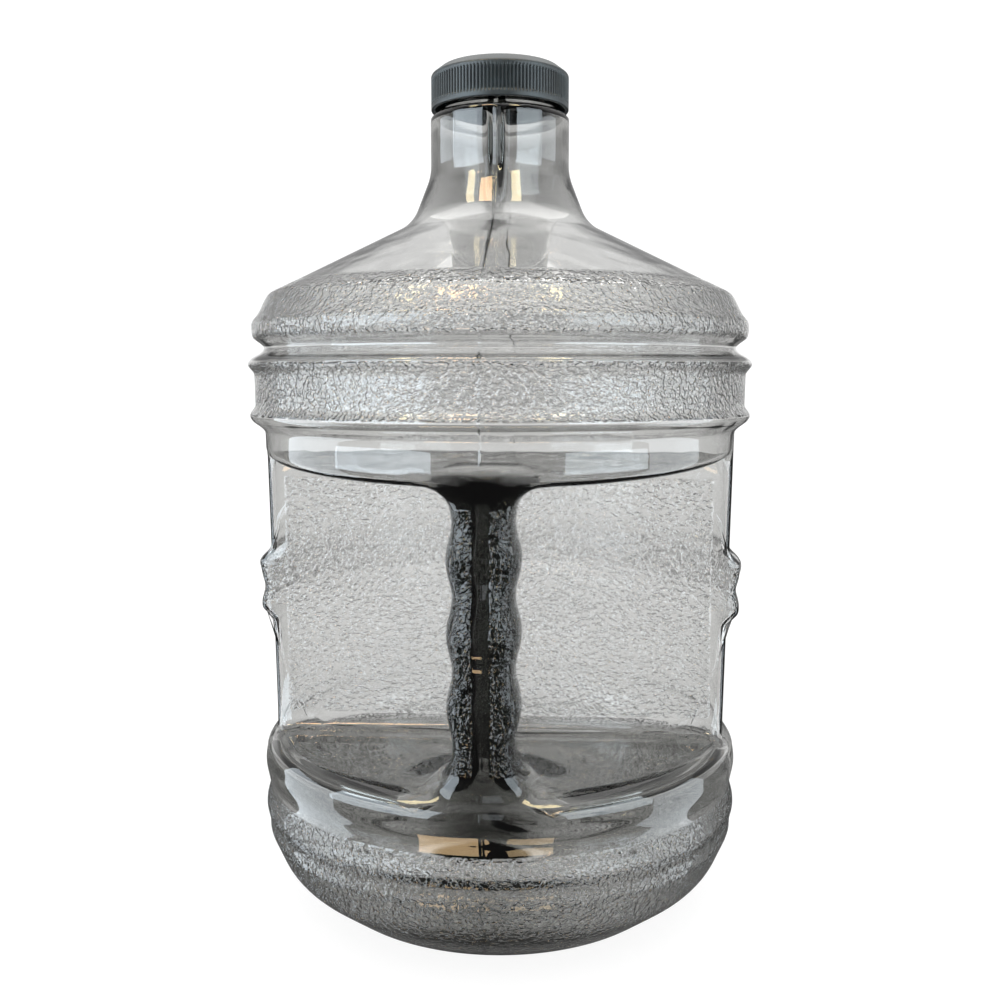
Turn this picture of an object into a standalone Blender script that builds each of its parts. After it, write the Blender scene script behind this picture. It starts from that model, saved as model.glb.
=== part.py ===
"""Large water jug: a clear blow-moulded bottle with a hollow handle in a hand recess, a screw cap
and the cap's sealing liner.

The jug stands on z = 0 with its axis on Z and its handle towards -Y. Lengths in the functions are
in millimetres and become metres where a mesh is made.
"""
import bmesh
import bpy
import numpy as np

MM = 0.001
SIDES = 48                     # sides of every turned piece of the bottle

# bottle, from the foot up
RING_OUTER = 60.5              # ring that the jug stands on
RING_INNER = 54.0
PUSH_UP = 7.0                  # height of the base's raised middle
FOOT_TOP = 26.0                # the round foot ends here and the wall begins
WALL_LOW = (60.0, 79.6)        # height and radius of the plain wall, low and high
WALL_HIGH = (163.0, 81.4)
SHOULDER = (79.8, 210.2)       # radius and height where the wall turns into the cone
CONE_TOP = (30.4, 234.9)       # where the cone turns up into the neck
WALL_TOP = 203.5
NECK_RADIUS = 23.8
NECK_FOOT = 251.5
NECK_TOP = 270.6               # the wide neck ends just below the cap
FINISH_RADIUS = 20.6           # threaded part of the neck
FINISH_FOOT = 272.6
RIM = 284.0
BOTTLE_WALL = 1.6

# hand recess and handle
RECESS_FLOOR = 60.0
RECESS_CEILING = 150.8         # height of the ceiling at the front of the handle
CEILING_RISE = 0.09            # the ceiling climbs this much for each unit towards the back
RECESS_BACK = -18.0            # plane of the recess's back wall
HANDLE_FRONT_GAP = 0.5         # the handle's face stands this far inside the wall
HANDLE_DEPTH = 26.0
HANDLE_WIDTH = 20.6
SWELL_GAIN = 1.9               # how much wider the handle is at a swell than at a waist
SWELL_PITCH = 22.3
SWELL_TOP = 129.0
ROOT_FLARE = 7.0
ROOT_LENGTH = 9.0

# screw thread shared by the neck and the cap
PITCH = 4.2333
NECK_THREAD_TURNS = 1.5
NECK_THREAD_START = 276.0
CAP_THREAD_TURNS = 1.25
THREAD_FOOT_WIDTH = 2.2
THREAD_CREST_WIDTH = 1.0
NECK_THREAD_RADIUS = 21.9
CAP_THREAD_RADIUS = 21.0
THREAD_SINK = 0.4              # how far a thread's root goes into its wall
THREAD_STEPS = 24              # sections in each turn of thread

# cap and liner
CAP_RADIUS = 23.6
CAP_BORE = 22.3
CAP_FOOT = 273.3
CAP_TOP = 287.2
CAP_BEVEL_RADIUS = 20.2
CAP_BEVEL_HEIGHT = 2.6
CAP_PLATE = 1.6
LINER_RADIUS = 21.6
FACE_GAP = 0.3                 # gap between faces that touch


def ease(t):
    """0 below 0, 1 above 1, and a smooth S between."""
    t = np.clip(t, 0.0, 1.0)
    return t * t * (3.0 - 2.0 * t)


def swell(z, low, high, edge_low, edge_high, rise):
    """A band from low to high that stands out by rise, with eased edges outside it."""
    return rise * ease((z - low + edge_low) / edge_low) * ease((high + edge_high - z) / edge_high)


def bead(z, centre, half, rise):
    """One raised-cosine rib of the given half height."""
    u = np.clip(np.abs(z - centre) / half, 0.0, 1.0)
    return rise * 0.5 * (1.0 + np.cos(np.pi * u))


def wall_radius(z):
    """Radius of the belly at a height: a plain tapering wall, three swollen bands and their ribs."""
    z = np.asarray(z, dtype=float)
    slope = (WALL_HIGH[1] - WALL_LOW[1]) / (WALL_HIGH[0] - WALL_LOW[0])
    r = WALL_LOW[1] + (z - WALL_LOW[0]) * slope
    r = r + swell(z, 26.0, 54.0, 10.0, 7.0, 3.7)
    r = r + bead(z, 50.0, 5.0, 0.6) - bead(z, 42.0, 5.0, 0.5) + bead(z, 34.5, 5.5, 0.4)
    r = r + swell(z, 102.5, 118.5, 5.5, 6.0, 3.6)
    r = r + bead(z, 103.5, 4.0, 0.4) - bead(z, 110.0, 5.0, 0.9) + bead(z, 118.5, 4.2, 0.6)
    r = r + swell(z, 168.0, 200.5, 4.0, 5.0, 3.0)
    r = r + bead(z, 169.8, 3.8, 1.9) + bead(z, 187.0, 3.6, 2.0)
    return r - bead(z, 192.4, 3.9, 3.5) + bead(z, 198.6, 4.5, 0.4)


def rounded(corners, steps):
    """The outline through corners (radius, height, fillet), each turned into an arc of steps."""
    points = [np.array(corner[:2], dtype=float) for corner in corners]
    outline = [points[0]]
    for before, corner, after, spec in zip(points, points[1:], points[2:], corners[1:]):
        if spec[2] == 0:
            outline.append(corner)
            continue
        a = (before - corner) / np.linalg.norm(before - corner)
        b = (after - corner) / np.linalg.norm(after - corner)
        half = 0.5 * np.arccos(np.clip(a @ b, -1.0, 1.0))
        centre = corner + (a + b) / np.linalg.norm(a + b) * spec[2] / np.sin(half)
        start = corner + a * spec[2] / np.tan(half) - centre
        end = corner + b * spec[2] / np.tan(half) - centre
        turn = np.arctan2(start[0] * end[1] - start[1] * end[0], start @ end)
        for t in np.linspace(0.0, turn, steps + 1):
            c, s = np.cos(t), np.sin(t)
            outline.append(centre + np.array([c * start[0] - s * start[1], s * start[0] + c * start[1]]))
    outline.append(points[-1])
    return np.array(outline)


def thinned(outline, tolerance):
    """The outline with the points dropped that lie within tolerance of the chord beside them."""
    first, last = outline[0], outline[-1]
    along = (last - first) / max(np.linalg.norm(last - first), 1e-9)
    away = outline - first
    distance = np.abs(away[:, 0] * along[1] - away[:, 1] * along[0])
    worst = int(np.argmax(distance))
    if len(outline) < 3 or distance[worst] < tolerance:
        return np.array([first, last])
    return np.vstack([thinned(outline[:worst + 1], tolerance)[:-1], thinned(outline[worst:], tolerance)])


def bottle_outline(steps, tolerance):
    """Radius and height up the outside of the bottle, from the base's middle to the mouth's rim.

    Each rounded corner takes the given steps, and the ribbed wall is within tolerance of its formula.
    """
    foot = rounded([(0.0, PUSH_UP, 0), (44.0, 4.5, 6), (RING_INNER, 0.0, 3), (RING_OUTER, 0.0, 10),
                    (77.2, 13.2, 20), (float(wall_radius(FOOT_TOP)), FOOT_TOP, 0)], steps)
    heights = np.arange(FOOT_TOP + 1.0, WALL_TOP + 0.5, 0.5)
    wall = thinned(np.column_stack([wall_radius(heights), heights]), tolerance)
    top = rounded([(*wall[-1], 0), (*SHOULDER, 5), (*CONE_TOP, 14), (NECK_RADIUS, NECK_FOOT, 18),
                   (NECK_RADIUS, NECK_TOP, 0), (FINISH_RADIUS, FINISH_FOOT, 0),
                   (FINISH_RADIUS, RIM, 0)], steps)
    return np.vstack([foot, wall, top[1:]])


def moved_in(outline, wall):
    """The outline moved towards the inside by wall, along directions smoothed over the ribs."""
    length = np.concatenate([[0.0], np.cumsum(np.linalg.norm(np.diff(outline, axis=0), axis=1))])
    even = np.arange(0.0, length[-1], 0.5)
    fine = np.column_stack([np.interp(even, length, outline[:, k]) for k in (0, 1)])
    tangent = np.gradient(fine, axis=0)
    window = np.hanning(15) / np.hanning(15).sum()
    padded = np.pad(tangent, ((7, 7), (0, 0)), mode="edge")
    tangent = np.column_stack([np.convolve(padded[:, k], window, mode="valid") for k in (0, 1)])
    tangent /= np.linalg.norm(tangent, axis=1)[:, None]
    inside = fine + wall * np.column_stack([-tangent[:, 1], tangent[:, 0]])
    inside[0, 0] = 0.0
    return inside


def new_object(name, bm, smooth_angle=None):
    """An object in the scene from a bmesh whose lengths are in millimetres."""
    bmesh.ops.scale(bm, vec=(MM, MM, MM), verts=bm.verts)
    bmesh.ops.recalc_face_normals(bm, faces=bm.faces)
    mesh = bpy.data.meshes.new(name)
    bm.to_mesh(mesh)
    bm.free()
    if smooth_angle is not None:
        mesh.shade_smooth()
        mesh.set_sharp_from_angle(angle=smooth_angle)
    made = bpy.data.objects.new(name, mesh)
    bpy.context.scene.collection.objects.link(made)
    return made


def turned(name, outline, sides=SIDES, smooth_angle=0.6):
    """A closed solid of revolution about Z from an outline of radius and height."""
    bm = bmesh.new()
    points = [bm.verts.new((float(r), 0.0, float(z))) for r, z in outline]
    edges = [bm.edges.new(pair) for pair in zip(points, points[1:])]
    if outline[0][0] > 0 and outline[-1][0] > 0:
        edges.append(bm.edges.new((points[-1], points[0])))
    bmesh.ops.spin(bm, geom=points + edges, cent=(0, 0, 0), axis=(0, 0, 1), angle=2 * np.pi,
                   steps=sides, use_duplicate=False)
    bmesh.ops.remove_doubles(bm, verts=bm.verts, dist=0.001)
    return new_object(name, bm, smooth_angle)


def lofted(name, rings):
    """A closed solid through rings of points, capped at both ends."""
    bm = bmesh.new()
    loops = [[bm.verts.new(point) for point in ring] for ring in rings]
    for low, high in zip(loops, loops[1:]):
        for k in range(len(low)):
            bm.faces.new((low[k - 1], low[k], high[k], high[k - 1]))
    bm.faces.new(loops[0])
    bm.faces.new(loops[-1])
    return new_object(name, bm)


def recess_solid(name, growth):
    """The space of the hand recess, grown on every side: a rounded section pushed along X."""
    back = RECESS_BACK + growth
    floor = RECESS_FLOOR - growth
    front = -110.0
    ceiling = RECESS_CEILING + CEILING_RISE * (back + wall_radius(RECESS_CEILING)) + growth
    ceiling_front = ceiling - CEILING_RISE * (back - front)
    section = rounded([(front, floor, 0), (back, floor, 5.5 + growth), (back, ceiling, 4.0 + growth),
                       (front, ceiling_front, 0)], 4)
    reach = 110.0
    return lofted(name, [[(x, y, z) for y, z in section] for x in (-reach, reach)])


def handle_rings(inset, low, high):
    """Rings up the handle: a rounded section with finger swells, flared roots and a flush face."""
    turn = np.linspace(0.0, 2 * np.pi, 20, endpoint=False)
    heights = np.concatenate([[low], np.linspace(RECESS_FLOOR - 2.0, RECESS_CEILING + 5.0, 21), [high]])
    rings = []
    for z in heights:
        to_root = min(z - RECESS_FLOOR, RECESS_CEILING + 2.0 - z)
        flare = ROOT_FLARE * (1.0 - ease(to_root / ROOT_LENGTH)) ** 1.5
        wave = np.cos(2 * np.pi * (z - SWELL_TOP) / SWELL_PITCH)
        half_width = 0.5 * HANDLE_WIDTH + 0.5 * SWELL_GAIN * (wave + 0.2) + flare - inset
        face = float(wall_radius(np.clip(z, WALL_LOW[0] + 5.0, WALL_HIGH[0]))) - HANDLE_FRONT_GAP
        depth = HANDLE_DEPTH + 0.6 * SWELL_GAIN * wave + 1.2 * flare
        half_depth = 0.5 * depth - inset
        centre = -face + 0.5 * depth
        x = half_width * np.sign(np.cos(turn)) * np.abs(np.cos(turn)) ** 0.85
        y = centre + half_depth * np.sign(np.sin(turn)) * np.abs(np.sin(turn)) ** 0.85
        shrink = np.minimum(1.0, (face - inset) / np.hypot(x, y))
        rings.append(list(zip((x * shrink).tolist(), (y * shrink).tolist(), [float(z)] * len(turn))))
    return rings


def thread_solid(name, root, crest, start, turns):
    """A right-hand helical ridge from the root to the crest radius, whose ends fade into the wall."""
    steps = round(turns * THREAD_STEPS)
    side = np.sign(crest - root)
    rings = []
    for k in range(steps + 1):
        turn = 2 * np.pi * k / THREAD_STEPS
        fade = 0.25 + 0.75 * min(1.0, min(k, steps - k) * 4.0 / THREAD_STEPS)
        peak = root + (crest - root) * fade if k not in (0, steps) else root + side * 0.05
        z = start + PITCH * k / THREAD_STEPS
        section = [(root - side * THREAD_SINK, -0.5 * THREAD_FOOT_WIDTH),
                   (root, -0.5 * THREAD_FOOT_WIDTH), (peak, -0.5 * THREAD_CREST_WIDTH),
                   (peak, 0.5 * THREAD_CREST_WIDTH), (root, 0.5 * THREAD_FOOT_WIDTH),
                   (root - side * THREAD_SINK, 0.5 * THREAD_FOOT_WIDTH)]
        rings.append([(r * np.cos(turn), r * np.sin(turn), z + dz) for r, dz in section])
    return lofted(name, rings)


def join(target, other, operation):
    """Put a Boolean on target and hide the solid that it uses."""
    boolean = target.modifiers.new(f"{operation.lower()} {other.name}", "BOOLEAN")
    boolean.operation = operation
    boolean.solver = "EXACT"
    boolean.object = other
    other.hide_render = True
    other.display_type = "WIRE"


def plastic(name, colour, roughness, transmission=0.0, alpha=1.0):
    """A Principled plastic."""
    material = bpy.data.materials.new(name)
    material.use_nodes = True
    shader = material.node_tree.nodes["Principled BSDF"]
    shader.inputs["Base Color"].default_value = (*colour, 1.0)
    shader.inputs["Roughness"].default_value = roughness
    shader.inputs["Metallic"].default_value = 0.0
    shader.inputs["IOR"].default_value = 1.55
    shader.inputs["Transmission Weight"].default_value = transmission
    shader.inputs["Alpha"].default_value = alpha
    return material


def make_bottle():
    """The bottle: turned outside less the recess, plus handle and thread, less the hollow inside."""
    outside = np.vstack([bottle_outline(2, 0.3), [(0.0, RIM)]])
    bottle = turned("jug_body", outside)
    join(bottle, recess_solid("recess_cutter", 0.0), "DIFFERENCE")
    join(bottle, lofted("handle_outside", handle_rings(0.0, 54.0, 160.0)), "UNION")
    join(bottle, thread_solid("neck_thread", FINISH_RADIUS - 0.1, NECK_THREAD_RADIUS,
                              NECK_THREAD_START, NECK_THREAD_TURNS), "UNION")
    inside = thinned(moved_in(bottle_outline(8, 0.02), BOTTLE_WALL), 0.7)
    mouth = inside[-1, 0]
    hollow = turned("hollow_core", np.vstack([inside, [(mouth, RIM + 4.0), (0.0, RIM + 4.0)]]))
    join(hollow, recess_solid("recess_core", BOTTLE_WALL), "DIFFERENCE")
    join(hollow, lofted("handle_inside", handle_rings(BOTTLE_WALL, 50.0, 166.0)), "UNION")
    join(bottle, hollow, "DIFFERENCE")
    bottle.data.materials.append(plastic("smoky clear plastic", (0.35, 0.35, 0.36), 0.08, 0.9, 0.6))


def make_cap():
    """The cap: a turned cup with a bevelled top and a thread inside its skirt."""
    underside = CAP_TOP - CAP_PLATE
    outline = [(0.0, underside), (CAP_BORE, underside), (CAP_BORE, CAP_FOOT), (CAP_RADIUS, CAP_FOOT),
               (CAP_RADIUS, CAP_TOP - CAP_BEVEL_HEIGHT), (CAP_BEVEL_RADIUS, CAP_TOP), (0.0, CAP_TOP)]
    cap = turned("screw_cap", outline, sides=60)
    thread = thread_solid("cap_thread", CAP_BORE + 0.1, CAP_THREAD_RADIUS,
                          NECK_THREAD_START + 0.5 * PITCH, CAP_THREAD_TURNS)
    join(cap, thread, "UNION")
    cap.data.materials.append(plastic("black plastic", (0.025, 0.025, 0.027), 0.42))


def make_liner():
    """The liner: a soft disc between the cap's plate and the mouth's rim."""
    top = CAP_TOP - CAP_PLATE - FACE_GAP
    foot = RIM + FACE_GAP
    outline = [(0.0, foot), (LINER_RADIUS - 0.2, foot), (LINER_RADIUS, foot + 0.2),
               (LINER_RADIUS, top - 0.2), (LINER_RADIUS - 0.2, top), (0.0, top)]
    liner = turned("cap_liner", outline, sides=48)
    liner.data.materials.append(plastic("white foam", (0.8, 0.8, 0.78), 0.7))


def main():
    for old in list(bpy.data.objects):
        bpy.data.objects.remove(old, do_unlink=True)
    make_bottle()
    make_cap()
    make_liner()


main()
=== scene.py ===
"""The looks of the large water jug: its clear ribbed bottle with the hollow handle, the screw cap and
the liner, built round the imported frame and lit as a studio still.

Lengths in the shape functions are in millimetres and become metres where a mesh is made.
"""
from math import cos, pi, radians, sin

import bpy
import numpy as np
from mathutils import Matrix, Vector


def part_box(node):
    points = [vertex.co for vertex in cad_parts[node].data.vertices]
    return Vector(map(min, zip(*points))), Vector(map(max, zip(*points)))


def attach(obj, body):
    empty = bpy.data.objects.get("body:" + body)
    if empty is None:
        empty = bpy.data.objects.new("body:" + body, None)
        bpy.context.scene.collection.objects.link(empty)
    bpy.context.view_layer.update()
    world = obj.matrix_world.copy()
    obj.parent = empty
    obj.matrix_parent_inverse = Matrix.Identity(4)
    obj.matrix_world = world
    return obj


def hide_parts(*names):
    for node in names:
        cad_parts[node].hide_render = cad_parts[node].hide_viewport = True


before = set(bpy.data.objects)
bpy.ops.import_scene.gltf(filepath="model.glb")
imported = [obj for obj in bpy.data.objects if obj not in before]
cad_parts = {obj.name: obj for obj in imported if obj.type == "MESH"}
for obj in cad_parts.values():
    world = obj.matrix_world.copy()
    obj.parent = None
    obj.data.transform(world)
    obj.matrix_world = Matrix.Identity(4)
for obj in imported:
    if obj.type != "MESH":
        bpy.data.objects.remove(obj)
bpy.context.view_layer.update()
MM = 0.001

# bottle outline
RING_OUTER, RING_INNER, PUSH_UP, FOOT_TOP = 60.5, 54.0, 7.0, 26.0
WALL_LOW, WALL_HIGH, WALL_TOP = (60.0, 79.6), (163.0, 81.4), 203.5
SHOULDER, CONE_TOP = (79.8, 210.2), (30.4, 234.9)
NECK_RADIUS, NECK_FOOT, NECK_TOP = 23.8, 251.5, 270.6
FINISH_RADIUS, FINISH_FOOT = 20.6, 272.6
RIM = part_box("jug_body")[1].z / MM
# each band's lowest and highest point, its lower and upper edges' heights and how far it stands out
BANDS = [(26.0, 54.0, 10.0, 7.0, 3.7), (102.5, 118.5, 5.5, 6.0, 3.6), (168.0, 200.5, 4.0, 5.0, 3.0)]
# each rib's middle, half height and how far it stands out, less than nothing for a groove
RIBS = [(50.0, 5.0, 0.6), (42.0, 5.0, -0.5), (34.5, 5.0, 0.9), (103.5, 4.0, 0.4), (110.0, 5.0, -0.9),
        (118.5, 4.2, 0.6), (169.8, 3.8, 1.9), (187.0, 3.6, 2.0), (192.4, 3.9, -3.5), (198.6, 4.5, 0.4)]
# recess and handle
RECESS_FLOOR, RECESS_CEILING, CEILING_RISE, RECESS_BACK = 60.0, 150.8, 0.09, -18.0
CEILING_FRONT = -81.2          # the ceiling's stated height is here
FLOOR_FILLET, CEILING_FILLET = 5.5, 4.0
HANDLE_MIDDLE, HANDLE_HALF_DEPTH, HANDLE_HALF_WIDTH = -68.0, 14.0, 10.4
HANDLE_POWER = 2.5             # the handle's section is a superellipse of this power
SWELL_GAIN, SWELL_PITCH, SWELL_TOP = 0.95, 22.3, 129.0
ROOT_FILLET = 7.0
LIP_RADIUS, LIP_SHARPENING = 3.2, 0.6   # the lip's radius above, and how much less it is below
BLEND_LOW, BLEND_HIGH = 53.0, 160.0   # between these heights the belly is cut by the recess
# wall
WALL, FOOT_WALL_FRONT, FOOT_WALL_REAR, NECK_WALL, PINCH = 1.6, 2.2, 4.4, 2.4, 3.8
SHELF_EXTRA, LIP_EXTRA, ROOT_EXTRA, FOOT_EXTRA = 2.6, 2.2, 7.0, 2.6
CHANNEL_SHARE = 0.22                # the handle's channel, as a share of the handle's own size
ROOT_LOW, ROOT_HIGH = 40.0, 156.0   # the handle is thick between these heights
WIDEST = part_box("jug_body")[1].y / MM - 0.01
# thread
PITCH, THREAD_FOOT, THREAD_CREST = 4.2333, 2.2, 1.0
NECK_THREAD_START, NECK_THREAD_TURNS, NECK_THREAD_RADIUS = 276.0, 1.5, 21.9
CAP_THREAD_TURNS, CAP_THREAD_RADIUS = 1.25, 21.0
# parting line
SEAM_HEIGHT, SEAM_HALF_WIDTH = 0.30, 0.28
# cap and liner
CAP_RADIUS, CAP_BORE, CAP_BEVEL_RADIUS, CAP_BEVEL_HEIGHT, CAP_PLATE = 23.6, 22.3, 20.2, 2.6, 1.6
CAP_DISH, AXIS_RING = 0.25, 0.6     # how far the top is hollowed, and the smallest ring round the axis
GRIP_RIBS, GRIP_DEPTH, GRIP_LOW, GRIP_HIGH = 120, 0.55, 1.7, 10.2    # heights above the cap's foot
RIM_EDGE = 0.35                     # the mouth's edges are bevelled by this much
# grained stretches: shoulder, upper band, middle band, recess's back wall and grip
GRAIN_HEIGHTS = [(195.2, 213.5), (170.5, 187.0), (104.0, 118.0), (66.0, 148.4), (66.0, 144.6)]
FOOT_GRAIN_TOP, BACK_GRAIN_SIDE = 42.1, 73.0
# mesh rows and columns
HOLE_HALF_ANGLE = radians(15.01)    # the handle's roots stand inside this angle
LIP_ROWS, SHELF_ROWS, BACK_ROWS = 10, 18, 32
WINDOW_ROWS = 2, LIP_ROWS + 12      # the handle's windows lie between these rows of the belly
RIB_COLUMNS = 6                     # columns of the cap's mesh to each grip rib


def ease(t):
    """0 below 0, 1 above 1, and a smooth S between."""
    t = np.clip(t, 0.0, 1.0)
    return t * t * (3.0 - 2.0 * t)


def swell(z, low, high, edge_low, edge_high, rise):
    """A band from low to high that stands out by rise, with eased edges outside it."""
    return rise * ease((z - low + edge_low) / edge_low) * ease((high + edge_high - z) / edge_high)


def bead(z, centre, half, rise):
    """One raised-cosine rib of the given half height, or a groove where rise is negative."""
    return rise * 0.5 * (1.0 + np.cos(np.pi * np.clip(np.abs(z - centre) / half, 0.0, 1.0)))


def plain_radius(z):
    """The belly's taper without its bands."""
    slope = (WALL_HIGH[1] - WALL_LOW[1]) / (WALL_HIGH[0] - WALL_LOW[0])
    return WALL_LOW[1] + (np.asarray(z, dtype=float) - WALL_LOW[0]) * slope


def wall_radius(z):
    """The belly's radius at a height: the taper, three swollen bands, and the ribs and grooves on them."""
    r = plain_radius(z)
    for band in BANDS:
        r = r + swell(z, *band)
    for rib in RIBS:
        r = r + bead(z, *rib)
    return r


def rounded(corners, steps=24):
    """The outline through corners (radius, height, fillet), each turned into an arc of steps."""
    points = [np.array(corner[:2], dtype=float) for corner in corners]
    outline = [points[0]]
    for before, corner, after, spec in zip(points, points[1:], points[2:], corners[1:]):
        a = (before - corner) / np.linalg.norm(before - corner)
        b = (after - corner) / np.linalg.norm(after - corner)
        half = 0.5 * np.arccos(np.clip(a @ b, -1.0, 1.0))
        centre = corner + (a + b) / np.linalg.norm(a + b) * spec[2] / np.sin(half)
        start = corner + a * spec[2] / np.tan(half) - centre
        end = corner + b * spec[2] / np.tan(half) - centre
        turn = np.arctan2(start[0] * end[1] - start[1] * end[0], start @ end)
        t = np.linspace(0.0, turn, steps + 1)[:, None]
        arc = centre + np.cos(t) * start + np.sin(t) * np.array([-start[1], start[0]])
        outline.extend(arc)
    outline.append(points[-1])
    return np.array(outline)


def spaced(outline, finest, widest, sag=0.012):
    """Points along an outline, closer where it bends: each chord leaves the curve by about sag."""
    steps = np.linalg.norm(np.diff(outline, axis=0), axis=1)
    length = np.concatenate([[0.0], np.cumsum(steps)])
    even = np.linspace(0.0, length[-1], int(length[-1] / 0.1) + 2)
    fine = np.column_stack([np.interp(even, length, outline[:, k]) for k in (0, 1)])
    heading = np.unwrap(np.arctan2(*np.gradient(fine, axis=0).T[::-1]))
    bend = np.abs(np.gradient(heading, even))
    window = np.hanning(31) / np.hanning(31).sum()
    bend = np.convolve(np.pad(bend, 15, mode="edge"), window, mode="valid")
    pitch = np.clip(np.sqrt(8.0 * sag / np.maximum(bend, 1e-6)), finest, widest)
    pitch = np.convolve(np.pad(pitch, 15, mode="edge"), window, mode="valid")
    share = np.concatenate([[0.0], np.cumsum(np.diff(even) / pitch[:-1])])
    rows = int(np.ceil(share[-1])) + 1
    at = np.interp(np.linspace(0.0, share[-1], rows), share, even)
    return np.column_stack([np.interp(at, even, fine[:, k]) for k in (0, 1)])


def wall_outline(low, high):
    """The ribbed wall between two heights, as radius and height."""
    z = np.linspace(low, high, int((high - low) / 0.1) + 2)
    return np.column_stack([wall_radius(z), z])


def round_max(a, b, r):
    """The larger of two distances, with the edge between them rounded to radius r."""
    return np.minimum(-r, np.maximum(a, b)) + np.hypot(np.maximum(a + r, 0.0), np.maximum(b + r, 0.0))


def round_min(a, b, r):
    """The smaller of two distances, with the corner between them filled to radius r."""
    return np.maximum(r, np.minimum(a, b)) - np.hypot(np.maximum(r - a, 0.0), np.maximum(r - b, 0.0))


def handle_half_sizes(z):
    """Half the handle's width and depth: it swells and narrows between the fingers."""
    wide = HANDLE_HALF_WIDTH + SWELL_GAIN * np.cos(2.0 * np.pi * (z - SWELL_TOP) / SWELL_PITCH)
    return wide, HANDLE_HALF_DEPTH + 0.5 * (wide - HANDLE_HALF_WIDTH)


def belly_distance(p):
    """Distance outside the belly: the turned wall, less the hand recess, plus the handle's column.

    The recess is a corner room of three planes with filleted corners. The column joins its floor and
    ceiling with filleted roots, and the turned wall cuts both off with a rounded lip.
    """
    x, y, z = p[..., 0], p[..., 1], p[..., 2]
    slope = (wall_radius(z + 0.05) - wall_radius(z - 0.05)) / 0.1
    outside = (np.hypot(x, y) - wall_radius(z)) / np.sqrt(1.0 + slope * slope)
    ceiling = RECESS_CEILING + CEILING_RISE * (y - CEILING_FRONT)
    room = round_max(y - RECESS_BACK, RECESS_FLOOR - z, FLOOR_FILLET)
    room = round_max(room, z - ceiling, CEILING_FILLET)
    wide, deep = handle_half_sizes(z)
    reach = np.abs(x / wide) ** HANDLE_POWER + np.abs((y - HANDLE_MIDDLE) / deep) ** HANDLE_POWER
    column = (reach ** (1.0 / HANDLE_POWER) - 1.0) * wide
    lip = LIP_RADIUS - LIP_SHARPENING * ease((100.0 - z) / 30.0)
    return round_max(outside, round_min(-room, column, ROOT_FILLET), lip)


def gradient(p, step=0.02):
    """The slope of belly_distance at points, by central differences."""
    return np.stack([(belly_distance(p + step * axis) - belly_distance(p - step * axis)) / (2 * step)
                     for axis in np.eye(3)], axis=-1)


def settled(p, rounds=14):
    """Points moved along the slope of belly_distance until they lie on the belly's surface."""
    for _ in range(rounds):
        slope = gradient(p)
        size = np.maximum((slope * slope).sum(-1), 0.05)
        move = (belly_distance(p) / size)[..., None] * slope
        length = np.linalg.norm(move, axis=-1, keepdims=True)
        p = p - move * np.minimum(1.0, 2.0 / np.maximum(length, 1e-9))
    return p


def columns():
    """Azimuths from -180 to 180 degrees, 0 at the handle: close at the seam and the recess's edges."""
    seam = [0.0, 0.25, 0.5, 1.0, 1.8]
    stretches = [(3.3, 15.0, 8), (17.5, 70.0, 22), (71.2, 83.0, 11), (85.5, 176.2, 37)]
    half = seam + [a for low, high, n in stretches for a in np.linspace(low, high, n)]
    half += [180.0 - a for a in seam[:0:-1]]
    return np.radians(np.concatenate([[-180.0], -np.array(half[:0:-1]), half]))


def belly_rows(azimuth):
    """Rows of points for the belly stretch, one column per azimuth, before they are settled.

    At the front a column runs up the wall, in over the recess's floor, up its back wall, out under the
    ceiling and up the wall again. Behind the recess's edge it runs straight up the ribbed wall, and
    near the edge it is a mix of the two that follows the recess's depth.
    """
    back = np.where(np.cos(azimuth) > 0.02, -RECESS_BACK / np.maximum(np.cos(azimuth), 0.02), 900.0)
    depth = np.clip(plain_radius(RECESS_FLOOR) - back, 0.0, None)
    inner = plain_radius(RECESS_FLOOR) - depth
    inner_y = -inner * np.cos(azimuth)
    low_lip, high_lip = plain_radius(RECESS_FLOOR), plain_radius(RECESS_CEILING)
    ceiling_in = RECESS_CEILING + CEILING_RISE * (inner_y - CEILING_FRONT)
    ceiling_out = RECESS_CEILING + CEILING_RISE * (-high_lip * np.cos(azimuth) - CEILING_FRONT)
    ceiling_out = np.minimum(ceiling_out, BLEND_HIGH - 4.0)
    ceiling_in = np.minimum(ceiling_in, BLEND_HIGH - 3.0)
    whole = np.ones_like(azimuth)
    corners = [np.stack(pair, axis=-1) for pair in (
        (wall_radius(BLEND_LOW) * whole, BLEND_LOW * whole), (low_lip * whole, RECESS_FLOOR * whole),
        (inner, RECESS_FLOOR * whole), (inner, ceiling_in), (high_lip * whole, ceiling_out),
        (wall_radius(BLEND_HIGH) * whole, BLEND_HIGH * whole))]
    front = [corners[0][None]]
    for start, end, rows, gather in zip(corners, corners[1:],
                                        (LIP_ROWS, SHELF_ROWS, BACK_ROWS, SHELF_ROWS, LIP_ROWS),
                                        (0.0, 0.75, 0.5, 0.75, 0.0)):
        t = np.linspace(0.0, 1.0, rows + 1)[1:, None, None]
        t = (1.0 - gather) * t + gather * ease(t)
        front.append(start + (end - start) * t)
    front = np.concatenate(front)
    marks = [(BLEND_LOW, 62.0, LIP_ROWS + 2), (62.0, 96.5, SHELF_ROWS - 6), (96.5, 125.5, BACK_ROWS + 4),
             (125.5, 151.0, SHELF_ROWS - 4), (151.0, BLEND_HIGH, LIP_ROWS + 4)]
    heights = np.concatenate([[BLEND_LOW]] + [np.linspace(a, b, n + 1)[1:] for a, b, n in marks])
    rear = np.stack([wall_radius(heights), heights], axis=-1)[:, None, :]
    mix = ease(depth / 14.0)[None, :, None]
    return front * mix + rear * (1.0 - mix)


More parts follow.
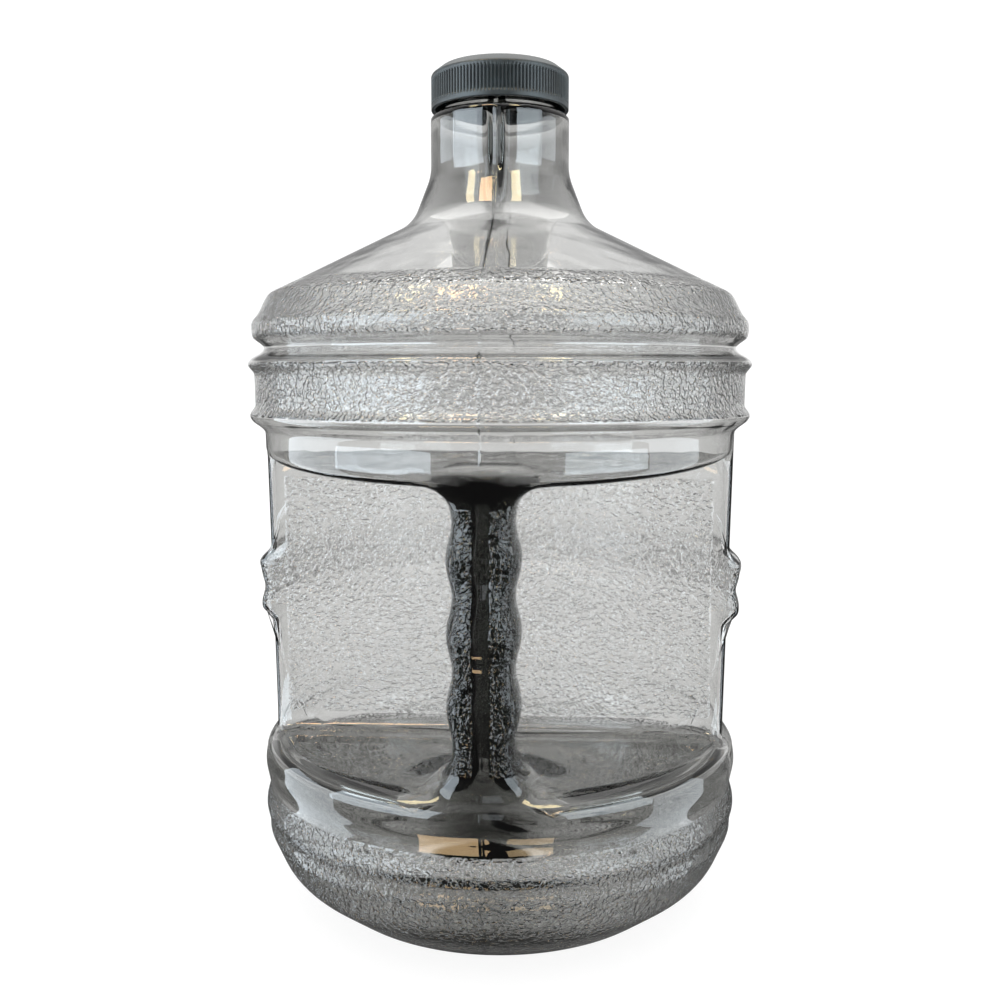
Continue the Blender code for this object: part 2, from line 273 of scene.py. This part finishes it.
def around(rows, azimuth):
    """Points in space from rows of radius and height at azimuths measured from -Y."""
    return np.stack([rows[..., 0] * np.sin(azimuth), -rows[..., 0] * np.cos(azimuth),
                     rows[..., 1] * np.ones_like(azimuth)], axis=-1)


def bottle_rows():
    """The bottle's three outlines: base and foot, belly, and shoulder to rim."""
    foot = rounded([(AXIS_RING, PUSH_UP, 0), (44.0, 4.5, 6), (RING_INNER, 0.0, 3), (RING_OUTER, 0.0, 10),
                    (77.2, 13.2, 20), (float(wall_radius(FOOT_TOP)), FOOT_TOP, 0)])
    low = spaced(np.vstack([foot, wall_outline(FOOT_TOP, BLEND_LOW)[1:]]), 0.9, 5.5)
    crown = rounded([(float(wall_radius(WALL_TOP)), WALL_TOP, 0), (*SHOULDER, 5), (*CONE_TOP, 14),
                     (NECK_RADIUS, NECK_FOOT, 18), (NECK_RADIUS, NECK_TOP, 1.2),
                     (FINISH_RADIUS, FINISH_FOOT, 1.2), (FINISH_RADIUS, FINISH_FOOT + 1.5, 0)])
    high = spaced(np.vstack([wall_outline(BLEND_HIGH, WALL_TOP), crown[1:]]), 0.9, 4.5)
    finish = np.linspace(FINISH_FOOT + 1.5, RIM, 20)[1:]
    finish = np.column_stack([np.full(len(finish), FINISH_RADIUS), finish])
    return low, np.vstack([high, finish])


def grid_faces(rows, count):
    """Quads of a grid numbered row by row, closed round its columns, facing away from the axis."""
    i, j = np.meshgrid(np.arange(rows - 1), np.arange(count), indexing="ij")
    after = (j + 1) % count
    return np.stack([i * count + j, i * count + after, (i + 1) * count + after, (i + 1) * count + j],
                    axis=-1)


def window_loop(edge, inside, first, last, count):
    """Vertex numbers round a window of the grid: edge row, last column, inside row, first column."""
    step = 1 if inside > edge else -1
    across = np.arange(first, last + 1)
    inward = np.arange(edge + step, inside, step)
    return np.concatenate([edge * count + across, inward * count + last,
                           inside * count + across[::-1], inward[::-1] * count + first])


def handle_rings(low_loop, high_loop, azimuth, side_rows):
    """Rings of points that carry the window in the floor up the handle to the one in the ceiling.

    Each ring is a superellipse round the handle's middle, and the first and last few are drawn
    straight from the window's edge to it. All are then settled on the belly's surface.
    """
    corner = radians(42.0)
    across = azimuth / HOLE_HALF_ANGLE * corner
    side = np.linspace(corner, pi - corner, side_rows + 2)[1:-1]
    turn = np.concatenate([across, side, pi - across[::-1], -side[::-1]])
    low_root, high_root = RECESS_FLOOR + 9.0, RECESS_CEILING - 8.0
    z = np.linspace(low_root, high_root, 31)[:, None]
    wide, deep = handle_half_sizes(z)
    reach = np.abs(np.sin(turn) / wide) ** HANDLE_POWER + np.abs(np.cos(turn) / deep) ** HANDLE_POWER
    reach = reach ** (-1.0 / HANDLE_POWER)
    column = np.stack([reach * np.sin(turn), HANDLE_MIDDLE - reach * np.cos(turn),
                       z * np.ones_like(turn)], axis=-1)
    t = np.linspace(0.0, 1.0, 13)[1:-1, None, None]
    low = low_loop * (1.0 - t) + column[0] * t
    high = column[-1] * (1.0 - t) + high_loop * t
    return settled(np.concatenate([low, column, high]))


def vertex_normals(points, quads, rounds=0):
    """Unit normals at the vertices of quads, averaged with their neighbours' a few times."""
    corner = points[quads]
    face = np.cross(corner[:, 2] - corner[:, 0], corner[:, 3] - corner[:, 1])
    normals = np.zeros_like(points)
    for k in range(4):
        np.add.at(normals, quads[:, k], face)
    normals /= np.maximum(np.linalg.norm(normals, axis=1, keepdims=True), 1e-12)
    edges = np.concatenate([quads[:, (k, (k + 1) % 4)] for k in range(4)])
    for _ in range(rounds):
        total = normals.copy()
        np.add.at(total, edges[:, 0], normals[edges[:, 1]])
        np.add.at(total, edges[:, 1], normals[edges[:, 0]])
        normals = total / np.maximum(np.linalg.norm(total, axis=1, keepdims=True), 1e-12)
    return normals


def wall_at(rho, x, y, z, upward):
    """The wall's thickness: greater in the foot's curve, the neck, the recess's floor and below its lip."""
    at_foot = ease((42.0 - z) / 14.0) * ease((rho - 44.0) / 12.0)
    at_neck = ease((z - 238.0) / 14.0)
    foot = FOOT_WALL_FRONT + (FOOT_WALL_REAR - FOOT_WALL_FRONT) * ease((y + 30.0) / 60.0)
    foot = foot + FOOT_EXTRA * np.exp(-((x / 30.0) ** 2)) * ease(-y / 20.0)
    shelf = ease((upward - 0.4) / 0.5) * ease((-12.0 - y) / 8.0) * ease((z - 52.0) / 4.0) * (z < 66.0)
    under_lip = ease((z - 40.0) / 6.0) * ease((61.0 - z) / 4.0) * ease((-20.0 - y) / 30.0)
    return WALL + (foot - WALL) * at_foot + (NECK_WALL - WALL) * at_neck \
        + SHELF_EXTRA * shelf + (LIP_EXTRA + ROOT_EXTRA * np.exp(-((x / 15.0) ** 2))) * under_lip


def inner_surface(p, normals):
    """The inside of the moulding: one wall in, pinched thick at the neck's seam, a channel in the handle.

    In the handle a point moves towards the channel's middle line instead, down to a share of its
    distance, and the two rules are mixed over the handle's roots. The line bends back at the lower root.
    """
    x, y, z = p[:, :1], p[:, 1:2], p[:, 2:]
    pinch = PINCH * np.exp(-((x / 3.0) ** 2)) * (y < 0.0)
    pinch = pinch * ease((z - 226.0) / 36.0) * ease((RIM - 4.0 - z) / 6.0)
    inside = p - (wall_at(np.hypot(x, y), x, y, z, normals[:, 2:]) + pinch) * normals
    low_root = ease((74.0 - z) / 14.0)
    middle = HANDLE_MIDDLE + 6.0 * low_root
    away = np.hypot(x, y - middle)
    share = ease((20.0 + 7.0 * low_root - away) / 8.0) * ease((z - ROOT_LOW) / 7.0)
    share = share * ease((ROOT_HIGH - z) / 12.0)
    channel = np.hstack([x * CHANNEL_SHARE, middle + (y - middle) * CHANNEL_SHARE, z])
    return inside * (1.0 - share) + channel * share


def thread_height(p, start, turns, height):
    """How far a right-hand screw ridge stands out at points near a turned wall."""
    stand = np.zeros(len(p))
    turn = np.mod(np.arctan2(p[:, 1], p[:, 0]), 2.0 * pi)
    for lap in range(int(np.ceil(turns))):
        along = turn / (2.0 * pi) + lap
        away = np.abs(p[:, 2] - (start + PITCH * along))
        ridge = np.clip((0.5 * THREAD_FOOT - away) / (0.5 * (THREAD_FOOT - THREAD_CREST)), 0.0, 1.0)
        fade = ease(along / 0.12) * ease((turns - along) / 0.12)
        stand = np.maximum(stand, height * ridge * fade)
    return stand


def seam_height(p):
    """The parting line's fine ridge, in the plane of the handle, below the threaded neck."""
    up = ease((p[:, 2] - 1.5) / 3.0) * ease((FINISH_FOOT - 1.0 - p[:, 2]) / 2.0)
    at_grip = ease((p[:, 2] - 50.0) / 8.0) * ease((162.0 - p[:, 2]) / 8.0)
    return SEAM_HEIGHT * up * (1.0 - 0.75 * at_grip) * np.exp(-((p[:, 0] / SEAM_HALF_WIDTH) ** 2))


def mesh_object(name, points, faces, material, body, node):
    """A smooth mesh piece in place of a CAD node, from points in millimetres."""
    mesh = bpy.data.meshes.new(name)
    mesh.from_pydata((points * MM).tolist(), [], [list(face) for face in faces])
    mesh.shade_smooth()
    mesh.set_sharp_from_angle(angle=radians(50.0))
    mesh.materials.append(material)
    piece = bpy.data.objects.new(name, mesh)
    bpy.context.scene.collection.objects.link(piece)
    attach(piece, body)
    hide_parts(node)
    return piece


def outside_grid(azimuth):
    """The outside without its handle, as rows of points, and the first and last row of the belly."""
    low, high = bottle_rows()
    belly = settled(around(belly_rows(azimuth), azimuth))
    grid = np.concatenate([around(low[:, None], azimuth), belly[1:], around(high[1:, None], azimuth)])
    first_belly = len(low) - 1
    return grid, first_belly, first_belly + len(belly) - 1


def outside_surface(azimuth):
    """The outside's points and quads with the handle joined in, and the vertices of its first and last row.

    The handle's roots stand in two windows, each from a row on the front wall to one on the recess's
    floor or ceiling. The points inside the windows are left out.
    """
    grid, first_belly, last_belly = outside_grid(azimuth)
    rows, count = grid.shape[:2]
    inside_columns = np.flatnonzero(np.abs(azimuth) < HOLE_HALF_ANGLE)
    first, last = inside_columns[0], inside_columns[-1]
    edge, inner = WINDOW_ROWS
    low_loop = window_loop(first_belly + edge, first_belly + inner, first, last, count)
    high_loop = window_loop(last_belly - edge, last_belly - inner, first, last, count)
    keep = np.ones((rows - 1, count), dtype=bool)
    keep[first_belly + edge:first_belly + inner, first:last] = False
    keep[last_belly - inner:last_belly - edge, first:last] = False
    points = grid.reshape(-1, 3)
    rings = handle_rings(points[low_loop], points[high_loop], azimuth[first:last + 1], inner - edge - 1)
    fresh = len(points) + np.arange(rings.size // 3).reshape(rings.shape[:2])
    number = np.concatenate([low_loop[None], fresh, high_loop[None]])
    after = np.roll(number, -1, axis=1)
    tube = np.stack([number[:-1], after[:-1], after[1:], number[1:]], axis=-1).reshape(-1, 4)
    used, quads = np.unique(np.vstack([grid_faces(rows, count)[keep], tube]), return_inverse=True)
    points = np.vstack([points, rings.reshape(-1, 3)])[used]
    base = np.searchsorted(used, np.arange(count))
    top = np.searchsorted(used, (rows - 1) * count + np.arange(count))
    return points, quads.reshape(-1, 4), base, top


def raised(points, quads):
    """The outside's points with the parting line and the thread standing out, kept within WIDEST."""
    thread = thread_height(points, NECK_THREAD_START, NECK_THREAD_TURNS, NECK_THREAD_RADIUS - FINISH_RADIUS)
    stand = seam_height(points) + thread * (points[:, 2] > FINISH_FOOT + 1.0)
    outside = points + stand[:, None] * vertex_normals(points, quads)
    outside[:, :2] *= np.minimum(1.0, WIDEST / np.maximum(np.hypot(*outside[:, :2].T), 1e-6))[:, None]
    return outside


def fan(pole, ring, upward):
    """Triangles that close a ring of vertices with one on the axis, facing up or down."""
    after = np.roll(ring, -1)
    pair = (ring, after) if upward else (after, ring)
    return np.stack([np.full(len(ring), pole), *pair], axis=-1).tolist()


def make_bottle(material):
    """The bottle: an outside on a grid of azimuth and outline row, joined to an inside one wall in.

    The inside lies along directions smoothed over the ribs. The point attribute outer is 1 on the
    outside and 0 on the inside, for the material.
    """
    points, quads, base, top = outside_surface(columns())
    outside = raised(points, quads)
    inside = inner_surface(points, vertex_normals(points, quads, rounds=6))
    inside[top, 2] = RIM - RIM_EDGE
    flat = outside[top, :2] / np.hypot(*outside[top, :2].T)[:, None]
    height = np.full(len(top), RIM)
    rim_out = np.column_stack([flat * (FINISH_RADIUS - RIM_EDGE), height])
    rim_in = np.column_stack([flat * (FINISH_RADIUS - NECK_WALL + RIM_EDGE), height])
    poles = [[0.0, 0.0, PUSH_UP], [0.0, 0.0, PUSH_UP + WALL]]
    everything = np.vstack([outside, inside, rim_out, rim_in, poles])
    size, count = len(points), len(top)
    pole = 2 * size + 2 * count
    bands = [top, 2 * size + np.arange(count), 2 * size + count + np.arange(count), size + top]
    joins = [np.stack([a, np.roll(a, -1), np.roll(b, -1), b], axis=-1) for a, b in zip(bands, bands[1:])]
    faces = np.vstack([quads, size + quads[:, ::-1], *joins]).tolist()
    faces += fan(pole, base, upward=False) + fan(pole + 1, size + base, upward=True)
    piece = mesh_object("jug_bottle", everything, faces, material, "jug", "jug_body")
    outer = np.ones(len(everything), np.float32)
    outer[size:2 * size] = 0.0
    outer[pole + 1] = 0.0
    piece.data.attributes.new("outer", "FLOAT", "POINT").data.foreach_set("value", outer)
    return piece


def grip_height(p, foot):
    """The skirt's upright ribs, flat-topped with narrow grooves, rounded off at both ends."""
    turn = np.arctan2(p[:, 1], p[:, 0])
    wave = 0.5 + 0.5 * np.cos(GRIP_RIBS * turn)
    up = p[:, 2] - foot
    ends = ease((up - GRIP_LOW) / 0.7) * ease((GRIP_HIGH - up) / 0.7)
    return GRIP_DEPTH * ends * (ease(wave * 1.25) - 1.0)


def closed_turning(name, points, poles, material, body, node):
    """A turned piece from rows of points, closed at its first and last row by a point on the axis."""
    rows, count = points.shape[:2]
    ring = np.arange(count)
    pole = rows * count
    faces = grid_faces(rows, count).reshape(-1, 4).tolist()
    faces += fan(pole, ring, upward=False) + fan(pole + 1, (rows - 1) * count + ring, upward=True)
    everything = np.vstack([points.reshape(-1, 3), poles])
    return mesh_object(name, everything, faces, material, body, node)


def divided(outline, upright, sloping):
    """An outline cut into stretches no longer than upright where it is upright, and sloping elsewhere."""
    rows = [outline[:1]]
    for before, after in zip(outline, outline[1:]):
        longest = upright if abs(before[0] - after[0]) < 0.01 else sloping
        cuts = max(1, int(np.ceil(np.linalg.norm(after - before) / longest)))
        rows.append(before + (after - before) * np.linspace(0.0, 1.0, cuts + 1)[1:, None])
    return np.vstack(rows)


def make_cap(material):
    """The screw cap: an outline run from under the plate round the skirt to the top, turned about Z."""
    (_, _, foot), (_, _, top) = (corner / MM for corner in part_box("screw_cap"))
    plate = top - CAP_PLATE
    bevel = top - CAP_BEVEL_HEIGHT
    rows = divided(rounded([
        (AXIS_RING, plate, 0), (CAP_BORE, plate, 0.5), (CAP_BORE, foot, 0.25), (CAP_RADIUS, foot, 0.35),
        (CAP_RADIUS, bevel, 1.0), (CAP_BEVEL_RADIUS, top, 1.1), (15.0, top, 30.0),
        (AXIS_RING, top - CAP_DISH, 0),
    ], steps=5), 0.42, 2.5)
    count = GRIP_RIBS * RIB_COLUMNS
    azimuth = np.linspace(-pi, pi, count, endpoint=False)
    points = around(rows[:, None], azimuth)
    outer = points[..., :2] / np.hypot(points[..., 0], points[..., 1])[..., None]
    shape = points.shape[:2]
    flat = points.reshape(-1, 3)
    on_skirt = (np.abs(rows[:, 0] - CAP_RADIUS) < 0.01)[:, None] * np.ones(count)
    in_bore = (np.abs(rows[:, 0] - CAP_BORE) < 0.01)[:, None] * np.ones(count)
    start = NECK_THREAD_START + 0.5 * PITCH
    stand = grip_height(flat, foot).reshape(shape) * on_skirt
    stand -= thread_height(flat, start, CAP_THREAD_TURNS, CAP_BORE - CAP_THREAD_RADIUS).reshape(shape) \
        * in_bore
    points[..., :2] += outer * stand[..., None]
    poles = [[0.0, 0.0, plate], [0.0, 0.0, top - CAP_DISH]]
    return closed_turning("screw_cap_ribbed", points, poles, material, "cap", "screw_cap")


def make_liner(material):
    """The foam liner: a thin disc with softly rounded edges, dimpled by the neck's rim."""
    (_, _, low), (high_x, _, high) = (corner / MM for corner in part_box("cap_liner"))
    rows = divided(rounded([(AXIS_RING, low, 0), (high_x, low, 0.45), (high_x, high, 0.45),
                            (AXIS_RING, high, 0)], steps=5), 0.7, 0.7)
    azimuth = np.linspace(-pi, pi, 96, endpoint=False)
    under = rows[:, 1] < 0.5 * (low + high)
    wall_middle = FINISH_RADIUS - 0.5 * WALL
    rows[:, 1] += 0.18 * under * np.exp(-(((rows[:, 0] - wall_middle) / 0.9) ** 2))
    poles = [[0.0, 0.0, low], [0.0, 0.0, high]]
    return closed_turning("foam_liner", around(rows[:, None], azimuth), poles, material,
                          "liner", "cap_liner")


class Value:
    """One output of a material's nodes. Arithmetic on it adds Math nodes."""

    def __init__(self, finish, socket):
        self.finish = finish
        self.socket = socket

    def maths(self, operation, *given):
        """A Math node on this value and the given ones."""
        return self.finish.node("ShaderNodeMath", {"operation": operation}, dict(enumerate((self, *given))))

    def __add__(self, other):
        return self.maths("ADD", other)

    __radd__ = __add__

    def __sub__(self, other):
        return self.maths("SUBTRACT", other)

    def __rsub__(self, other):
        return (self * -1.0) + other

    def __mul__(self, other):
        return self.maths("MULTIPLY", other)

    __rmul__ = __mul__

    def __abs__(self):
        return self.maths("ABSOLUTE")

    def __or__(self, other):
        return self.maths("MAXIMUM", other)

    def step(self, low, high):
        """0 at low, 1 at high, and smooth between, whichever is the larger."""
        return self.finish.node("ShaderNodeMapRange", {"interpolation_type": "SMOOTHSTEP"},
                                {"Value": self, "From Min": low, "From Max": high})

    def between(self, low, high, soft):
        """1 from low to high, fading out over soft on both sides."""
        return self.step(low - soft, low + soft) * self.step(high + soft, high - soft)


class Finish:
    """A node tree for one material or world."""

    def __init__(self, owner):
        self.owner = owner
        owner.use_nodes = True
        self.tree = owner.node_tree
        self.tree.nodes.clear()

    def node(self, kind, settings=None, inputs=None, output=0):
        """A node of a kind: its settings first, then values or links into its sockets."""
        made = self.tree.nodes.new(kind)
        for key, value in (settings or {}).items():
            setattr(made, key, value)
        for key, value in (inputs or {}).items():
            if isinstance(value, Value):
                self.tree.links.new(value.socket, made.inputs[key])
            else:
                made.inputs[key].default_value = value
        return Value(self, made.outputs[output]) if made.outputs else None

    def place(self):
        """The object coordinates, as a vector."""
        return self.node("ShaderNodeTexCoord", output="Object")

    def parts(self, vector):
        """A vector's x, y and z."""
        return [self.node("ShaderNodeSeparateXYZ", inputs={0: vector}, output=k) for k in range(3)]

    def noise(self, spot, scale, detail, roughness, distortion=0.0):
        """A cloudy pattern from 0 to 1: scale is in features a metre."""
        return self.node("ShaderNodeTexNoise", {},
                         {"Vector": spot, "Scale": scale, "Detail": detail, "Roughness": roughness,
                          "Distortion": distortion})

    def mix(self, share, a, b):
        """A colour from a at share 0 to b at share 1."""
        return self.node("ShaderNodeMix", {"data_type": "RGBA"}, {"Factor": share, "A": a, "B": b},
                         output="Result")


def new_finish(name):
    """An empty node tree in a new material."""
    return Finish(bpy.data.materials.new(name))


def clear_plastic():
    """Smoky clear plastic: glossy, with a pebbled grain on the bands, back wall, grip and foot."""
    f = new_finish("smoky_clear_plastic")
    spot = f.place()
    x, y, z = f.parts(spot)
    outer = f.node("ShaderNodeAttribute", {"attribute_name": "outer"}, output="Fac")
    side = abs(x)
    from_handle = f.node("ShaderNodeVectorMath", {"operation": "LENGTH"}, {0: f.node(
        "ShaderNodeCombineXYZ", inputs={0: x, 1: y - HANDLE_MIDDLE * MM, 2: 0.0})}, output="Value")
    soft = 0.5 * MM
    at_handle = from_handle.step(17.5 * MM, 16.5 * MM)
    shoulder, upper, belt, wall, palm = (z.between(a * MM, b * MM, soft) for a, b in GRAIN_HEIGHTS)
    middle = belt * y.step(-20.0 * MM, -16.0 * MM)
    foot = z.step((FOOT_GRAIN_TOP + 0.5) * MM, (FOOT_GRAIN_TOP - 0.5) * MM)
    back = y.between((RECESS_BACK - 0.6) * MM, (RECESS_BACK + 0.6) * MM, 0.2 * MM)
    back = back * wall * side.step((BACK_GRAIN_SIDE + 0.5) * MM, (BACK_GRAIN_SIDE - 0.5) * MM)
    strip = side.step(2.3 * MM, 3.3 * MM) | y.step(-74.0 * MM, -72.0 * MM)
    grip = at_handle * palm * strip
    mask = (shoulder | upper | middle | foot | back * 1.4 | grip * 1.1) * outer
    pebbles = f.noise(spot, 690.0, 1.0, 0.45, 0.5).step(0.36, 0.60)
    ripple = f.noise(spot, 38.0, 2.0, 0.5) * (1.0 - outer)
    grain = f.node("ShaderNodeBump", inputs={"Strength": 1.0, "Distance": 0.46 * MM,
                                             "Height": pebbles * mask}, output="Normal")
    waved = f.node("ShaderNodeBump", inputs={"Strength": 1.0, "Distance": 0.5 * MM, "Height": ripple,
                                             "Normal": grain}, output="Normal")
    smear = f.noise(spot, 24.0, 4.0, 0.6)
    surface = f.node("ShaderNodeBsdfPrincipled", {}, {
        "Base Color": (1.0, 1.0, 1.0, 1.0), "Transmission Weight": 1.0, "IOR": 1.54,
        "Roughness": 0.015 + 0.03 * smear + 0.05 * mask, "Normal": waved})
    inside = f.node("ShaderNodeVolumeAbsorption", {}, {"Color": (0.03, 0.03, 0.0, 1.0), "Density": 176.0})
    f.node("ShaderNodeOutputMaterial", inputs={"Surface": surface, "Volume": inside})
    return f.owner


def black_plastic():
    """Black satin plastic: a fine moulded texture, slightly dusty in soft random clouds."""
    f = new_finish("black_plastic")
    spot = f.place()
    fine = f.noise(spot, 2600.0, 2.0, 0.6)
    cloud = f.noise(spot, 120.0, 4.0, 0.6)
    colour = f.mix(cloud.step(0.3, 0.75), (0.013, 0.0185, 0.0205, 1.0),
                   (0.031, 0.044, 0.049, 1.0))
    bump = f.node("ShaderNodeBump", inputs={"Strength": 0.6, "Distance": 0.03 * MM, "Height": fine},
                  output="Normal")
    surface = f.node("ShaderNodeBsdfPrincipled", {}, {
        "Base Color": colour, "Roughness": 0.3 + 0.14 * cloud + 0.06 * fine, "IOR": 1.49, "Normal": bump})
    f.node("ShaderNodeOutputMaterial", inputs={"Surface": surface})
    return f.owner


def white_foam():
    """White closed-cell foam: matt, with fine cells and a faint grey mottle."""
    f = new_finish("white_foam")
    spot = f.place()
    cells = f.node("ShaderNodeTexVoronoi", {"feature": "F1"}, {"Vector": spot, "Scale": 2600.0})
    mottle = f.noise(spot, 240.0, 3.0, 0.6)
    colour = f.mix(mottle.step(0.3, 0.8), (0.80, 0.80, 0.78, 1.0), (0.66, 0.66, 0.64, 1.0))
    bump = f.node("ShaderNodeBump", inputs={"Strength": 0.8, "Distance": 0.05 * MM, "Height": cells},
                  output="Normal")
    surface = f.node("ShaderNodeBsdfPrincipled", {}, {
        "Base Color": colour, "Roughness": 0.72 + 0.12 * mottle, "Normal": bump})
    f.node("ShaderNodeOutputMaterial", inputs={"Surface": surface})
    return f.owner


def pale_floor():
    """A matt studio floor, lit from within so that it stays nearly white, with a faint paper tooth."""
    f = new_finish("studio_floor")
    spot = f.place()
    tooth = f.noise(spot, 260.0, 3.0, 0.6)
    colour = f.mix(tooth, (0.17, 0.17, 0.17, 1.0), (0.14, 0.14, 0.14, 1.0))
    surface = f.node("ShaderNodeBsdfPrincipled", {}, {
        "Base Color": colour, "Roughness": 0.9, "Specular IOR Level": 0.15,
        "Emission Color": (1.0, 1.0, 1.0, 1.0), "Emission Strength": 0.9})
    f.node("ShaderNodeOutputMaterial", inputs={"Surface": surface})
    return f.owner


def make_floor():
    """A round floor under the jug, left out of reflections."""
    mesh = bpy.data.meshes.new("studio_floor")
    turn = np.linspace(0.0, 2.0 * pi, 96, endpoint=False)
    ring = np.column_stack([np.cos(turn), np.sin(turn), np.zeros_like(turn)]) * 12.0
    mesh.from_pydata(ring.tolist(), [], [list(range(96))])
    mesh.materials.append(pale_floor())
    floor = bpy.data.objects.new("studio_floor", mesh)
    bpy.context.scene.collection.objects.link(floor)
    floor.visible_glossy = False


def area_lamp(name, azimuth, height, distance, size, brightness, colour, through=True):
    """A rectangular lamp aimed at the jug's middle. Azimuth is in degrees from -Y, to the right.

    With through off, it is seen in reflections but not through the bottle.
    """
    lamp = bpy.data.lights.new(name, "AREA")
    lamp.shape = "RECTANGLE"
    lamp.size, lamp.size_y = size
    lamp.energy = pi * brightness * size[0] * size[1]
    lamp.color = colour
    holder = bpy.data.objects.new(name, lamp)
    holder.location = (distance * sin(radians(azimuth)), -distance * cos(radians(azimuth)), height)
    aim = Vector((0.0, 0.0, 0.15)) - holder.location
    holder.rotation_euler = aim.to_track_quat("-Z", "Y").to_euler()
    holder.visible_camera = False
    holder.visible_diffuse = False
    holder.visible_transmission = through
    bpy.context.scene.collection.objects.link(holder)


def make_lamps():
    """Cool windows left and right, panels between and beside them, warm lamps high and low, and a sky."""
    area_lamp("window_left", -52.0, 0.48, 1.5, (1.5, 1.2), 6.0, (0.80, 0.91, 1.0))
    area_lamp("window_right", 54.0, 0.48, 1.6, (1.3, 1.2), 4.6, (0.82, 0.93, 1.0))
    area_lamp("panel_middle", -1.0, 0.70, 1.6, (0.36, 0.9), 1.2, (0.90, 0.96, 1.0))
    area_lamp("lamp_left", -19.0, 1.25, 0.75, (0.40, 0.16), 16.0, (1.0, 0.64, 0.32))
    area_lamp("lamp_far_left", -50.0, 1.1, 0.80, (0.18, 0.30), 12.0, (1.0, 0.84, 0.48))
    area_lamp("lamp_right", 34.0, 1.15, 0.75, (0.22, 0.26), 13.0, (1.0, 0.84, 0.46))
    area_lamp("ceiling", 180.0, 1.8, 0.25, (2.2, 2.2), 1.3, (1.0, 0.99, 0.96))
    area_lamp("side_left", -94.0, -0.1, 1.3, (0.9, 1.5), 3.4, (0.84, 0.93, 1.0), through=False)
    area_lamp("side_right", 92.0, -0.1, 1.3, (0.8, 1.5), 2.8, (0.86, 0.94, 1.0), through=False)
    area_lamp("warm_below_left", -19.0, -0.55, 0.75, (0.46, 0.15), 7.0, (1.0, 0.70, 0.38))
    area_lamp("warm_below_right", 19.0, -0.55, 0.75, (0.30, 0.12), 4.5, (1.0, 0.74, 0.42))
    sky = bpy.data.lights.new("overhead", "SUN")
    sky.energy = 1.0
    sky.angle = radians(70.0)
    holder = bpy.data.objects.new("overhead", sky)
    holder.visible_glossy = False
    bpy.context.scene.collection.objects.link(holder)


def make_world():
    """Pale surroundings: white to the camera, and dimmer in a ring a little above the horizon.

    In reflections they are dark on the camera's side and below the floor.
    """
    world = bpy.data.worlds.new("studio")
    bpy.context.scene.world = world
    f = Finish(world)
    way = f.node("ShaderNodeTexCoord", output="Generated")
    _, y, z = f.parts(way)
    glow = 1.1 - 0.62 * z.step(0.12, 0.22) + 0.62 * z.step(0.34, 0.6)
    seen = f.node("ShaderNodeLightPath", output="Is Camera Ray")
    mirrored = f.node("ShaderNodeLightPath", output="Glossy Depth").maths("GREATER_THAN", 0.5)
    dark_side = y.step(0.1, -0.35) * z.step(0.9, 0.6) | z.step(0.0, -0.06)
    strength = glow * (1.0 - 0.9 * dark_side * mirrored) * (1.0 - seen) + 1.15 * seen
    light = f.node("ShaderNodeBackground", inputs={"Color": (1.0, 1.0, 1.0, 1.0), "Strength": strength})
    f.node("ShaderNodeOutputWorld", inputs={"Surface": light})


def make_camera():
    """A camera a little above the jug's middle, four degrees round from the handle."""
    camera = bpy.data.objects.new("camera", bpy.data.cameras.new("camera"))
    camera.data.lens = 39.6
    camera.data.sensor_width = 36.0
    camera.data.clip_start = 0.01
    round_by, distance, height, down = radians(4.0), 0.391, 0.183, radians(6.42)
    camera.location = (distance * sin(round_by), -distance * cos(round_by), height)
    camera.rotation_euler = (pi / 2 - down, 0.0, round_by)
    bpy.context.scene.collection.objects.link(camera)
    bpy.context.scene.camera = camera


def set_light_paths():
    """Enough bounces for light to cross both walls of the bottle and the handle."""
    scene = bpy.context.scene
    scene.view_settings.view_transform = "Standard"
    scene.cycles.max_bounces = 20
    scene.cycles.transmission_bounces = 20
    scene.cycles.glossy_bounces = 6
    scene.cycles.transparent_max_bounces = 24


make_camera()
make_bottle(clear_plastic())
make_cap(black_plastic())
make_liner(white_foam())
make_floor()
make_lamps()
make_world()
set_light_paths()
